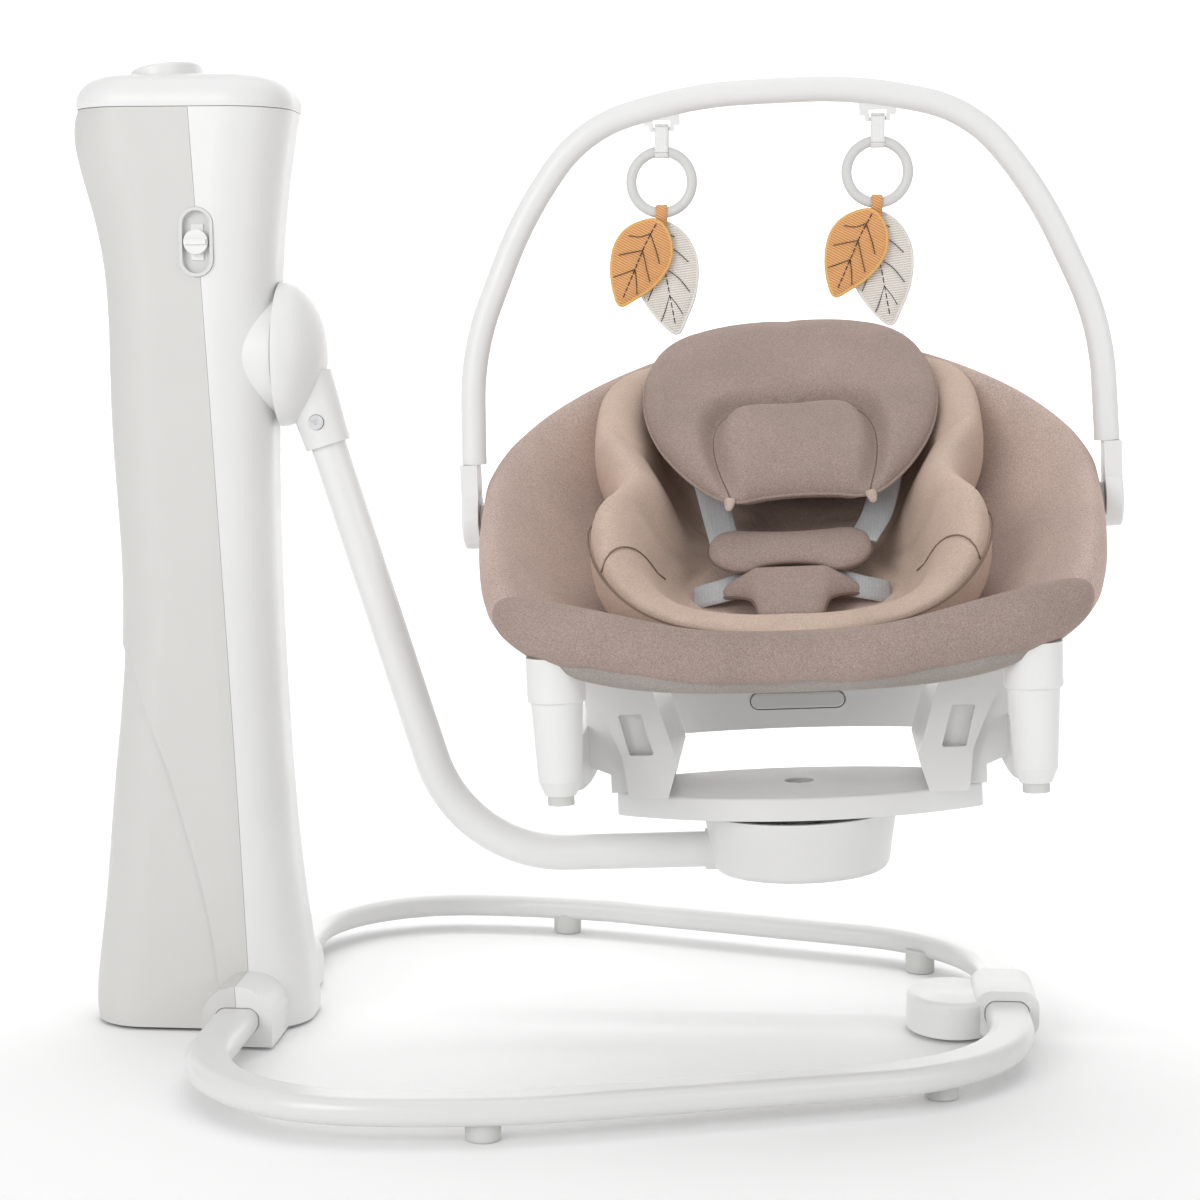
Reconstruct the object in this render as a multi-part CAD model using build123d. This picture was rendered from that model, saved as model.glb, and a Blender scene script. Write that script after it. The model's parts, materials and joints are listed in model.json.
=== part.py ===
from build123d import *
import math
import os

# A baby swing: a drive tower on an egg-shaped floor ring, a pendulum arm, a swivelling carrier plate and a
# removable rocker seat with a toy bar. Millimetres, +Z up, origin on the floor under the middle of the
# bounding box. The tower stands at -X, and the seat at rest faces -Y.

# ---- driving dimensions ----
TOWER_X = -365.0            # middle of the tower
TOWER_TOP = 812.0           # where the cap sits
TOWER_WALL = 3.0
SEAM_TOP_X, SEAM_BOTTOM_X = -352.0, -309.0   # the seam between the two tower shells leans
# height, middle X, half width X, half depth Y of the tower's outside
TOWER_SECTIONS = [
    (3, -361.5, 99.5, 65), (60, -362.5, 96.5, 64), (150, -363, 86, 62), (250, -362, 77.5, 60.5),
    (345, -360, 71, 60), (470, -362.5, 70.5, 60), (600, -364, 73.5, 61), (700, -365, 79.5, 63.5),
    (TOWER_TOP, -366, 95, 67),
]
CORNER_SHARE = 0.8          # corner radius of a tower section over its half depth
SKIRT_STEP = 2.5            # how far the flared skirt is set in behind the tower's blade
RING_W, RING_H, RING_R = 38.0, 22.0, 9.5      # ring tube section
RING_WALL = 2.0
RING_Z = 26.0               # middle of the ring tube
RING_LEFT_X, RING_RIGHT_X = -309.0, 358.0
RING_HALF = 357.0           # half depth of the ring at its middle line
RING_SHOULDER = (-69.0, -357.0)
RING_CORNER_Y = -212.0
FOOT_R, FOOT_TOP = 14.0, 22.0
PIVOT_Z = 600.0             # height of the arm's swing axis
PIVOT_X = -287.4            # face of the tower's round boss at the swing axis
BOSS_R = 52.0
ORIGIN_X = -5.95           # middle of the whole object, which becomes X = 0
SHAFT_R = 8.0
CRANK_Z = 540.0             # height of the drive's crank
ARM_R, ARM_WALL = 16.0, 2.0
ARM_CORNER = (-126.0, 151.0)                  # X, Z where the arm's two straight runs meet
ARM_TOP = (-256.0, 552.0)
ARM_BEND_R = 123.0
HUB_X, HUB_Z = 176.0, 190.0                   # origin of the seat's own frame
SEAT_TILT = 2.45            # the unloaded arm holds the seat's far side a little high
HUB_R, HUB_BOTTOM, HUB_TOP = 86.0, -45.0, 9.0
PLATE_BOTTOM, PLATE_TOP = 12.5, 33.5
PLATE_HALF_X, PLATE_HALF_Y = 160.0, 85.0
SPINDLE_R = 10.0
RECLINE = 27.5              # slope of the seat hoop, in degrees
HOOP_Z = 290.0              # height of the hoop's plane over the hub
HOOP_TUBE_R = 9.0
FRONT_POWER, BACK_POWER = 0.64, 1.18          # squareness of the seat's outline
LEG_X, LEG_Y = 192.0, -200.0
LEG_R, LEG_BOTTOM, LEG_TOP = 20.5, 62.0, 142.0
BAR_R = 11.0
BAR_PIVOT_X, BAR_PIVOT_Z = 280.5, 275.0
BAR_TOP_Z = 638.0
HANGER_X, HANGER_Z = 93.5, 618.0
HANGER_SHIFT = -5.5         # the two toys hang a little nearer to the tower
TOY_RING_R, TOY_RING_TUBE = 26.5, 4.6
GAP = 0.5                   # clearance between separate pieces

parts = {}


# ---- helpers ----
def seat_frame():
    """The tilted frame of the hub, carrier plate and seat: X right, Y back, Z up."""
    return Location((HUB_X, 0, HUB_Z)) * Rotation(0, -SEAT_TILT, 0)


def hoop_frame():
    """The frame of the hoop's sloping plane, inside the seat frame: Y runs up the slope."""
    return Location((0, 0, HOOP_Z)) * Rotation(RECLINE, 0, 0)


def keep(name, shape, place=None):
    """Adds a node, placed in the object's frame."""
    parts[name] = place * shape if place is not None else shape


def block(x0, x1, y0, y1, z0, z1):
    """A box from its limits."""
    return Pos((x0 + x1) / 2, (y0 + y1) / 2, (z0 + z1) / 2) * Box(x1 - x0, y1 - y0, z1 - z0)


def disc(r, z0, z1, x=0.0, y=0.0):
    """A cylinder along Z from its limits."""
    return Pos(x, y, (z0 + z1) / 2) * Cylinder(r, z1 - z0)


def rod(a, b, r):
    """A round rod between two points."""
    a, b = Vector(*a), Vector(*b)
    return Solid.make_cylinder(r, (b - a).length, Plane(origin=a, z_dir=b - a))


def rounded_radii(points, closed=False, share=0.46):
    """Corner radii as large as the two runs of each corner allow."""
    points = [Vector(*p) for p in points]
    count = len(points)
    radii = []
    for i in range(count) if closed else range(1, count - 1):
        before, here, after = points[i - 1], points[i], points[(i + 1) % count]
        a, b = here - before, after - here
        turn = math.radians(a.get_angle(b))
        radii.append(share * min(a.length, b.length) / math.tan(turn / 2))
    return radii


def tube_along(path, section):
    """A section swept along a path, square to its start."""
    start = Plane(origin=path @ 0, x_dir=(0, 0, 1) if abs((path % 0).Z) < 0.9 else (1, 0, 0), z_dir=path % 0)
    return sweep(start * section, path=path)


def soft_outline(half_u, front, back, w, v_shift=0.0):
    """Closed outline round a soft piece: squarish at the front (-v), rounder at the back (+v)."""
    count = 16
    points = []
    for i in range(count):
        t = 2 * math.pi * i / count
        c, s = math.cos(t), math.sin(t)
        power = FRONT_POWER if s < 0 else BACK_POWER
        u = half_u * math.copysign(abs(c) ** power, c)
        v = (back if s > 0 else front) * math.copysign(abs(s) ** power, s)
        points.append((u, v + v_shift, w))
    return Face(Wire([Spline(*points, periodic=True)]))


def soft_bowl(half_u, front, back, depths, v_shift=0.0):
    """A solid bowl through outlines of (share of the full outline, w)."""
    return loft([soft_outline(half_u * s, front * s, back * s, w, v_shift) for s, w in depths])


# ---- tower ----
def tower_loft(inset):
    """The tower's body, set in by a distance."""
    faces = []
    for z, x, half_x, half_y in TOWER_SECTIONS:
        hx, hy = half_x - inset, half_y - inset
        faces.append(Pos(x, 0, z) * RectangleRounded(2 * hx, 2 * hy, CORNER_SHARE * hy))
    return loft(faces)


def skirt_region():
    """Everything to the left of the crease that sweeps from the tower's left edge down to the ring."""
    crease = [(-440, 352), (-428, 343), (-398, 280), (-381, 235), (-367, 187), (-354, 140), (-344, 95), (-337, 40)]
    with BuildSketch(Plane.XZ) as area:
        with BuildLine():
            Spline(*crease)
            Polyline(crease[-1], (-337, -20), (-520, -20), (-520, 352), crease[0])
        make_face()
    return extrude(area.sketch, amount=200, both=True)


def socket_body(grow=0.0):
    """The two hoods that take the ring's tube, as one arched bar through the tower's foot."""
    width, top = 62 + 2 * grow, 56 + grow
    with BuildSketch(Plane.XZ) as arch:
        with Locations((RING_LEFT_X, top - width / 2)):
            Circle(width / 2)
        with Locations((RING_LEFT_X, (top - width / 2 + 3) / 2)):
            Rectangle(width, top - width / 2 - 3)
    return extrude(arch.sketch, amount=118 + grow, both=True)


def ring_slot(grow):
    """The ring tube's straight passage through the tower."""
    section = RectangleRounded(RING_W + 2 * grow, RING_H + 2 * grow, RING_R + grow)
    return Pos(RING_LEFT_X, 0, RING_Z) * extrude(Plane.XZ * section, amount=130, both=True)


def side_of_seam(left):
    """The half space on one side of the leaning seam."""
    sign = -1 if left else 1
    lean = (SEAM_TOP_X - SEAM_BOTTOM_X) / (TOWER_TOP - RING_Z)
    bottom = SEAM_BOTTOM_X - lean * (RING_Z + 40)
    top = SEAM_TOP_X + lean * 40
    gap = 0.15 * sign
    outline = [(bottom + gap, -40), (top + gap, TOWER_TOP + 40), (top + sign * 400, TOWER_TOP + 40),
               (bottom + sign * 400, -40)]
    with BuildSketch(Plane.XZ) as half:
        with BuildLine():
            Polyline(*outline, close=True)
        make_face()
    return extrude(half.sketch, amount=300, both=True)


def switch_place():
    """The mode switch on the tower's front face, over the seam."""
    return Location((-347.0, -63.3, 697.0))


def obround(width, height, depth, y):
    """An upright obround plate whose front lies at -Y."""
    face = Plane.XZ * SlotOverall(height, width, rotation=90)
    return Pos(0, y, 0) * extrude(face, amount=depth)


def make_tower():
    region = skirt_region()
    outside = (tower_loft(0) - region) + (tower_loft(SKIRT_STEP) & region)
    outside = outside + socket_body()
    inside = tower_loft(TOWER_WALL + SKIRT_STEP) - socket_body()
    ledge = extrude(Pos(-366, 0, TOWER_TOP - 8) * RectangleRounded(174, 116, 46), amount=9)
    boss = Pos((PIVOT_X - 330) / 2, 0, PIVOT_Z) * Rotation(0, 90, 0) * Cylinder(BOSS_R, PIVOT_X + 330)
    outside = outside + boss
    shell = outside - inside - ledge - ring_slot(GAP)
    shell = shell - Pos(-380, 60, 120) * Rotation(90, 0, 0) * Cylinder(6.3, 30)
    shell = shell - Pos(0, 0, -47) * Box(900, 400, 100)
    shell = shell - Pos(PIVOT_X, 0, PIVOT_Z) * Rotation(0, 90, 0) * Cylinder(21, 90)
    place = switch_place()
    shell = shell - place * obround(30, 60, 30, 20)
    shell = shell - Pos(-365, 64, 330) * Box(88, 30, 150)
    keep("tower_outer_shell", shell & side_of_seam(True))
    keep("tower_inner_shell", shell & side_of_seam(False))
    bezel = obround(29.6, 59.6, 7, 5.0) - obround(24, 54, 12, 7.0)
    tray = obround(29.6, 59.6, 2, 7.0) - Pos(0, 6, 0) * Box(6, 12, 29.4)
    keep("switch_bezel", bezel + tray, place)
    knob = Pos(0, 4.8, 0) * Rotation(90, 0, 0) * Cylinder(10.6, 8, align=(Align.CENTER, Align.CENTER, Align.MIN))
    knob = knob + block(-9.5, 9.5, -6.0, 0, -2.2, 2.2) + block(-2.5, 2.5, 4.8, 12, -5, 5)
    knob = knob + block(-5.5, 5.5, 3.9, 4.8, -15.5, 15.5)
    keep("mode_switch", knob, place)


def make_cap():
    middle, half_x, half_y = TOWER_SECTIONS[-1][1:]
    radius = CORNER_SHARE * half_y
    levels = [(0, 0), (9, -0.5), (18, 4), (25, 13), (29.5, 30)]
    def shell_at(inset, drop):
        faces = [Pos(middle, 0, TOWER_TOP + GAP + z - drop * (z > 0)) *
                 RectangleRounded(2 * (half_x - i - inset), 2 * (half_y - i * 0.8 - inset),
                                  CORNER_SHARE * (half_y - i - inset) * 0.95) for z, i in levels]
        return loft(faces)
    cap = shell_at(0, 0) - shell_at(3, 3)
    pod_cut = pod_place() * extrude(Pos(0, 0, -30) * Ellipse(24, 36), amount=60)
    keep("tower_cap", cap - pod_cut)


def pod_place():
    """The control pod's tilted face on top of the cap."""
    return Location((-386.0, 0, 846.0)) * Rotation(0, -9, 0)


def button_spots():
    """Where the three buttons stand on the pod, in its own frame."""
    return [(0, -24), (0, 0), (0, 24)]


def make_pod():
    place = pod_place()
    body = extrude(Pos(0, 0, -13) * Ellipse(31, 46), amount=18)
    body = fillet(body.edges().sort_by(Axis.Z)[-1], 4)
    skirt = place * body - Pos(-370, 0, 790) * Box(260, 200, 99.2)
    cap_room = parts["tower_cap"]
    holes = [place * disc(6.3, -40, 20, x, y) for x, y in button_spots()]
    skirt = skirt - cap_room
    for hole in holes:
        skirt = skirt - hole
    largest = sorted(skirt.solids(), key=lambda s: s.volume)[-1]
    keep("control_pod", largest)
    for i, (x, y) in enumerate(button_spots(), 1):
        button = disc(6.0, -4, 6.2, x, y)
        button = fillet(button.edges().sort_by(Axis.Z)[-1], 1.2)
        keep(f"pod_button_{i}", button, place)


def make_tower_foot():
    floor = extrude(Pos(-361.5, 0, 3.2) * RectangleRounded(184, 116, 48), amount=3)
    floor = floor - Pos(RING_LEFT_X, 0, 10) * Box(64, 400, 30)
    pads = [disc(9, 0, 3.2, x, y) for x in (-430, -365) for y in (-38, 38)]
    keep("tower_floor", floor + pads)


def make_battery_bay():
    tray = block(-397, -333, 17, 53, 262, 400) - block(-394, -336, 20, 60, 265, 397)
    cells = [rod((x, 38, 265), (x, 38, 397), 13.5) for x in (-380, -350)]
    keep("battery_pack", tray + cells)
    door = tower_loft(0.4) & block(-408.5, -321.5, 50, 80, 255.5, 404.5)
    door = door - tower_loft(TOWER_WALL)
    keep("battery_door", sorted(door.solids(), key=lambda s: s.volume)[-1])


def make_drive():
    """The frame, gear motor, crank and electronics inside the tower."""
    plate = block(-343, -337, -44, 44, 500, 650)
    plate = plate - rod((-360, 0, PIVOT_Z), (-320, 0, PIVOT_Z), 13) - rod((-360, 0, CRANK_Z), (-320, 0, CRANK_Z), 3)
    keep("drive_frame", plate)
    running = SHAFT_R + 0.05
    bush = rod((-346, 0, PIVOT_Z), (-332, 0, PIVOT_Z), 12.9) - rod((-350, 0, PIVOT_Z), (-330, 0, PIVOT_Z), running)
    outer = rod((-302, 0, PIVOT_Z), (-288.5, 0, PIVOT_Z), 20.8) - rod((-310, 0, PIVOT_Z), (-280, 0, PIVOT_Z), running)
    keep("pivot_bearings", Compound([bush.solid(), outer.solid()]))
    motor = rod((-343.2, 0, CRANK_Z), (-376, 0, CRANK_Z), 17) + rod((-376, 0, CRANK_Z), (-418, 0, CRANK_Z), 13)
    keep("drive_motor", motor - rod((-352, 0, CRANK_Z), (-340, 0, CRANK_Z), 2.6))
    crank = rod((-336.5, 0, CRANK_Z), (-331, 0, CRANK_Z), 14) + rod((-351, 0, CRANK_Z), (-336.5, 0, CRANK_Z), 2.5)
    keep("crank_disc", crank + rod((-331, 6, CRANK_Z), (-320, 6, CRANK_Z), 3))
    keep("circuit_board", block(-424, -422, -36, 36, 572, 688))
    speaker = disc(26, 772, 790, -330, 0) + disc(33, 790.2, 796, -330, 0)
    keep("speaker", speaker)
    keep("power_jack", Pos(-380, 58.5, 120) * Rotation(90, 0, 0) * (Cylinder(6, 14) - Cylinder(3, 20)))


def make_ring():
    section = RectangleRounded(RING_H, RING_W, RING_R)
    bore = RectangleRounded(RING_H - 2 * RING_WALL, RING_W - 2 * RING_WALL, RING_R - RING_WALL)
    for name, side in (("front", -1), ("rear", 1)):
        corners = [
            (RING_LEFT_X, side * 1.0, RING_Z), (RING_LEFT_X, side * RING_HALF, RING_Z),
            (RING_SHOULDER[0], side * RING_HALF, RING_Z), (RING_RIGHT_X, -side * RING_CORNER_Y, RING_Z),
            (RING_RIGHT_X, side * 1.0, RING_Z),
        ]
        path = FilletPolyline(*corners, radius=[150, 500, 175])
        keep(f"ring_tube_{name}", tube_along(path, section) - tube_along(path, bore))
    tubes = parts["ring_tube_front"] + parts["ring_tube_rear"]
    feet = []
    for x, y in ((-56, 345), (302, 207)):
        for side in (-1, 1):
            foot = disc(FOOT_R, 0, FOOT_TOP, x - 9, side * y)
            foot = fillet(foot.edges().sort_by(Axis.Z)[0], 2.5)
            feet.append(sorted((foot - tubes).solids(), key=lambda s: s.center().Z)[0])
    feet.append(disc(12, 0, 3.6, RING_RIGHT_X - 48, 0))
    keep("ring_feet", Compound(feet))


def make_coupler():
    x = RING_RIGHT_X
    lobe = extrude(Pos(x - 46, 0, 4) * Ellipse(40, 50), amount=32)
    lobe = fillet(lobe.edges().group_by(Axis.Z)[-1], 5)
    with BuildSketch(Plane.XZ) as arch:
        with Locations((x, 25)):
            RectangleRounded(56, 42, 15)
    saddle = extrude(arch.sketch, amount=41, both=True)
    body = lobe + saddle
    slot = RectangleRounded(RING_W + 1.2, RING_H + 1.2, RING_R + 0.6)
    body = body - Pos(x, 0, RING_Z) * extrude(Plane.XZ * slot, amount=60, both=True)
    tubes = parts["ring_tube_front"] + parts["ring_tube_rear"]
    body = body - tubes
    keep("ring_coupler", sorted(body.solids(), key=lambda s: s.volume)[-1])


# ---- arm ----
def make_arm():
    a = Vector(ARM_TOP[0], 0, ARM_TOP[1])
    corner = Vector(ARM_CORNER[0], 0, ARM_CORNER[1])
    end_x = HUB_X - HUB_R + 19
    end = Vector(end_x, 0, ARM_CORNER[1] + (end_x - ARM_CORNER[0]) * math.tan(math.radians(SEAT_TILT)))
    path = FilletPolyline(a, corner, end, radius=ARM_BEND_R)
    keep("arm_tube", tube_along(path, Circle(ARM_R)) - tube_along(path, Circle(ARM_R - ARM_WALL)))
    down = (corner - a).normalized()
    dome = Pos(PIVOT_X + 1.2, 0, PIVOT_Z) * scale(Sphere(1), by=(40, 56, 64))
    neck_end = a + down * 34
    neck_top = a - down * 30
    neck = Solid.make_cone(23.5, 20.5, (neck_end - neck_top).length, Plane(origin=neck_top, z_dir=down))
    knuckle = dome + neck
    knuckle = knuckle & block(PIVOT_X + 1.5, PIVOT_X + 90, -80, 80, 480, 700)
    bore = rod(a - down * 0.3, neck_end + down * 5, ARM_R + 0.1)
    shaft_seat = rod((PIVOT_X, 0, PIVOT_Z), (PIVOT_X + 26, 0, PIVOT_Z), SHAFT_R)
    screw_at = a + down * 12
    across = rod((screw_at.X, -40, screw_at.Z), (screw_at.X, 40, screw_at.Z), 3.1)
    sinks = rod((screw_at.X, -40, screw_at.Z), (screw_at.X, -18.8, screw_at.Z), 7)
    sinks = sinks + rod((screw_at.X, 19, screw_at.Z), (screw_at.X, 40, screw_at.Z), 7)
    keep("arm_knuckle", knuckle - bore - shaft_seat - across - sinks)
    screw = rod((screw_at.X, -18.9, screw_at.Z), (screw_at.X, 20, screw_at.Z), 3.0) + \
        rod((screw_at.X, -22.4, screw_at.Z), (screw_at.X, -18.9, screw_at.Z), 6.6)
    socket = Pos(screw_at.X, -21.5, screw_at.Z) * Rotation(90, 0, 0) * extrude(RegularPolygon(2.6, 6), amount=3)
    nut = rod((screw_at.X, 19.1, screw_at.Z), (screw_at.X, 23, screw_at.Z), 6)
    keep("arm_fastener", screw - socket + nut)
    parts["arm_tube"] = parts["arm_tube"] - rod((screw_at.X, -40, screw_at.Z), (screw_at.X, 40, screw_at.Z), 3.1)
    shaft = rod((PIVOT_X + 25.9, 0, PIVOT_Z), (-348, 0, PIVOT_Z), SHAFT_R)
    clip = rod((-348, 0, PIVOT_Z), (-351, 0, PIVOT_Z), 11)
    fork = block(-328, -322, -10, 10, PIVOT_Z - 32, PIVOT_Z + 14)
    fork = fork + block(-328, -322, -28, 28, PIVOT_Z - 38, PIVOT_Z - 31)
    fork = fork + block(-328, -322, -28, -23, 522, PIVOT_Z - 31) + block(-328, -322, 23, 28, 522, PIVOT_Z - 31)
    keep("pivot_shaft", shaft + clip + fork)


def make_hub():
    frame = seat_frame()
    cup = Solid.make_cone(HUB_R - 9, HUB_R, HUB_TOP - HUB_BOTTOM, Plane.XY.offset(HUB_BOTTOM))
    cup = fillet(cup.edges().sort_by(Axis.Z)[0], 9)
    hollow = Solid.make_cone(HUB_R - 14, HUB_R - 4, HUB_TOP - HUB_BOTTOM, Plane.XY.offset(HUB_BOTTOM + 4))
    post = disc(17, HUB_BOTTOM + 2, HUB_TOP)
    cup = (cup - hollow) + post
    cup = cup - disc(SPINDLE_R, HUB_BOTTOM + 10, HUB_TOP + 5)
    cup = frame * cup
    end_x = HUB_X - HUB_R + 19
    z_end = ARM_CORNER[1] + (end_x - ARM_CORNER[0]) * math.tan(math.radians(SEAT_TILT))
    slope = math.tan(math.radians(SEAT_TILT))
    z_at = lambda x: z_end + (x - end_x) * slope
    collar = rod((HUB_X - HUB_R + 2, 0, z_at(HUB_X - HUB_R + 2)), (end_x + 10, 0, z_at(end_x + 10)), ARM_R + 2.5)
    collar = collar & Pos(HUB_X, 0, z_end) * Box(2 * HUB_R + 30, 90, 60)
    bore = rod((HUB_X - HUB_R - 40, 0, z_at(HUB_X - HUB_R - 40)), (end_x + 0.1, 0, z_at(end_x + 0.1)), ARM_R + 0.05)
    keep("hub_cup", cup + collar - bore)
    spindle = disc(SPINDLE_R, HUB_BOTTOM + 10, PLATE_TOP - 6) + disc(40, HUB_TOP, PLATE_BOTTOM)
    keep("hub_spindle", frame * (spindle - disc(3.0, PLATE_TOP - 30, PLATE_TOP)))
    bolt = disc(3.0, PLATE_TOP - 29.9, PLATE_TOP - 5.9) + disc(9, PLATE_TOP - 5.9, PLATE_TOP - 2.5)
    bolt = bolt - extrude(Pos(0, 0, PLATE_TOP - 4.5) * RegularPolygon(3.2, 6), amount=5)
    keep("swivel_bolt", frame * bolt)


# ---- carrier plate ----
def make_plate():
    frame = seat_frame()
    half_x, half_y = PLATE_HALF_X, PLATE_HALF_Y
    end_y = 34.0
    with BuildSketch() as plan:
        with BuildLine():
            ThreePointArc((-half_x, -end_y), (0, -half_y), (half_x, -end_y))
            Line((half_x, -end_y), (half_x, end_y))
            ThreePointArc((half_x, end_y), (0, half_y - 12), (-half_x, end_y))
            Line((-half_x, end_y), (-half_x, -end_y))
        make_face()
        fillet(plan.vertices(), 12)
    plate = extrude(Pos(0, 0, PLATE_BOTTOM + 0.4) * plan.sketch, amount=PLATE_TOP - PLATE_BOTTOM - 0.4)
    plate = fillet(plate.edges().group_by(Axis.Z)[-1], 3)
    bush_r = SPINDLE_R + 4
    plate = plate - disc(bush_r, 0, PLATE_TOP - 6) - disc(13, PLATE_TOP - 6.2, PLATE_TOP + 5)
    keep("carrier_plate", plate, frame)
    keep("swivel_bush", disc(bush_r, PLATE_BOTTOM + 0.4, PLATE_TOP - 6.3) - disc(SPINDLE_R + 0.05, 0, 40), frame)


# ---- rocker seat ----
def make_sides():
    frame = seat_frame()
    legs = []
    for name, s in (("left", -1), ("right", 1)):
        face = [(146, PLATE_TOP + 0.3), (112, PLATE_TOP + 0.3), (103, 64), (122, 128), (186, 138), (166, 108), (150, 70)]
        with BuildSketch(Plane.XZ) as outline:
            with BuildLine():
                Polyline(*[(s * x, z) for x, z in face], close=True)
            make_face()
            fillet(outline.vertices(), 3)
        bracket = extrude(outline.sketch, amount=76, both=True)
        with BuildSketch(Plane.XZ) as window:
            with BuildLine():
                Polyline(*[(s * x, z) for x, z in ((153, 108), (133, 108), (123, 72), (144, 72))], close=True)
            make_face()
            fillet(window.vertices(), 2)
        bracket = bracket - Pos(0, -66, 0) * extrude(window.sketch, amount=20)
        with BuildSketch(Plane.XZ) as wall_outline:
            with BuildLine():
                wall = [(124, 126), (184, 137), (181, 112), (181, 62), (162, 54), (162, 38), (140, 38)]
                Polyline(*[(s * x, z) for x, z in wall], close=True)
            make_face()
        wall = Pos(0, 6, 0) * extrude(wall_outline.sketch, amount=70, both=True)
        with BuildSketch(Plane.YZ) as rail_side:
            with BuildLine():
                Polyline((206, 66), (206, 98), (-206, 98), (-206, 66))
                ThreePointArc((-206, 66), (0, 46), (206, 66))
            make_face()
        rail = Pos(s * LEG_X, 0, 0) * extrude(rail_side.sketch, amount=12, both=True)
        side = bracket + wall + rail
        side = side - disc(LEG_R + 1.5, 0, 200, s * LEG_X, LEG_Y)
        keep(f"rocker_side_{name}", side.solids().sort_by(SortBy.VOLUME)[-1], frame)
        cone = Solid.make_cone(LEG_R - 2.5, LEG_R + 1, LEG_TOP - 74, Plane((s * LEG_X, LEG_Y, 74)))
        tip = Solid.make_cone(13, LEG_R - 2.5, 74 - LEG_BOTTOM, Plane((s * LEG_X, LEG_Y, LEG_BOTTOM)))
        collar = disc(24, LEG_TOP - 3, 176, s * LEG_X, LEG_Y)
        collar = fillet(collar.edges().sort_by(Axis.Z)[0], 2)
        pieces = [frame * (cone + tip + collar), frame * disc(11, 54, LEG_BOTTOM - 0.1, s * LEG_X, LEG_Y)]
        legs.append(pieces)
    keep("leg_sleeves", Compound([(p[0] - parts["seat_hoop"]).solids().sort_by(SortBy.VOLUME)[-1] for p in legs]))
    keep("leg_feet", Compound([p[1].solid() for p in legs]))


def make_crossbar():
    frame = seat_frame()
    with BuildSketch(Plane.XZ) as outline:
        with BuildLine():
            Polyline((-115.5, 57), (-115.5, 104), (115.5, 104), (115.5, 57))
            ThreePointArc((115.5, 57), (0, 60), (-115.5, 57))
        make_face()
    bar = Pos(0, 150, 0) * extrude(outline.sketch, amount=14, both=True)
    bar = bar + block(-182, -115, 138, 162, 72, 96) + block(115, 182, 138, 162, 72, 96)
    pocket = Pos(0, 152, 86) * extrude(Plane.XZ * SlotOverall(90, 17), amount=30)
    bar = bar - pocket - parts_at_rest(["rocker_side_left", "rocker_side_right"], frame)
    keep("rear_crossbar", bar, frame)
    handle = Pos(0, 145.5, 86) * extrude(Plane.XZ * SlotOverall(88, 15), amount=11.5)
    handle = fillet(handle.edges().group_by(Axis.Y)[0], 2)
    keep("release_handle", handle, frame)


def parts_at_rest(names, frame):
    """Some placed nodes, seen from the seat's frame."""
    back = frame.inverse()
    found = [back * parts[n] for n in names]
    total = found[0]
    for shape in found[1:]:
        total = total + shape
    return total


def make_hoop():
    place = seat_frame() * hoop_frame()
    outline = soft_outline(256, 272, 252, 0).outer_wire()
    corners = [outline @ (i / 24) for i in range(24)]
    path = FilletPolyline(*corners, radius=rounded_radii(corners, closed=True), close=True)
    hoop = place * tube_along(path, Circle(HOOP_TUBE_R))
    for s in (-1, 1):
        hoop = hoop + seat_frame() * rod((s * LEG_X, 160, 98.6), (s * 170.1, 148.5, 367.3), 8)
    keep("seat_hoop", hoop)


def make_cover():
    place = seat_frame() * hoop_frame()
    rim = extrude(soft_outline(270, 292, 273, 10.0), amount=14) - extrude(soft_outline(238, 253, 231, 0), amount=40)
    outer = soft_bowl(244, 259, 237, [(1, 24), (0.97, -20), (0.82, -66), (0.55, -92)])
    inner = soft_bowl(236, 251, 229, [(1, 24.1), (0.97, -14), (0.81, -57), (0.5, -81)])
    keep("seat_cover", rim + outer - inner, place)


def make_body_support():
    place = seat_frame() * hoop_frame()
    outer = soft_bowl(168, 226, 208, [(1, 28), (0.98, -20), (0.8, -58), (0.5, -78)], 8)
    inner = soft_bowl(142, 198, 182, [(1, 28.1), (0.95, -20), (0.72, -44), (0.4, -56)], 8)
    keep("body_support", outer - inner, place)


def make_head_support():
    place = seat_frame() * hoop_frame() * Location((0, 118, 31)) * Rotation(6, 0, 0)
    pillow = extrude(Ellipse(131, 158), amount=30)
    pillow = fillet(pillow.edges(), 13)
    notch = extrude(Pos(0, -150, -1) * RectangleRounded(120, 70, 14), amount=40)
    keep("head_support", pillow - notch, place)


def strap(a, b, width, thick, up=(0, 0, 1)):
    """A flat strap between two points."""
    a, b = Vector(*a), Vector(*b)
    run = b - a
    side = Vector(*up).cross(run).normalized()
    plane = Plane(origin=a, x_dir=side, z_dir=run.normalized())
    return extrude(plane * Rectangle(width, thick), amount=run.length)


def make_harness():
    place = seat_frame() * hoop_frame()
    chest = extrude(Pos(0, -42, -28) * RectangleRounded(138, 62, 28), amount=14)
    keep("chest_pad", fillet(chest.edges(), 5), place)
    crotch = extrude(Pos(0, -98, -26) * RectangleRounded(112, 40, 18), amount=11)
    crotch = crotch + extrude(Pos(0, -134, -26) * RectangleRounded(56, 60, 10), amount=11)
    keep("crotch_pad", crotch, place)
    buckle = fillet(extrude(Pos(0, -42, -40) * RectangleRounded(46, 42, 8), amount=11).edges(), 2)
    keep("buckle", buckle, place)
    shoulder = [place * strap((s * 74, 62, 2), (s * 52, -9, -22), 24, 2) for s in (-1, 1)]
    keep("shoulder_straps", Compound([b.solid() for b in shoulder]))
    lap = [place * strap((s * 100, -72, -30.5), (s * 27, -58, -30.5), 22, 2) for s in (-1, 1)]
    lap.append(place * strap((0, -66, -30.5), (0, -158, -28.5), 24, 2))
    keep("lap_straps", Compound([b.solid() for b in lap]))


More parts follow.
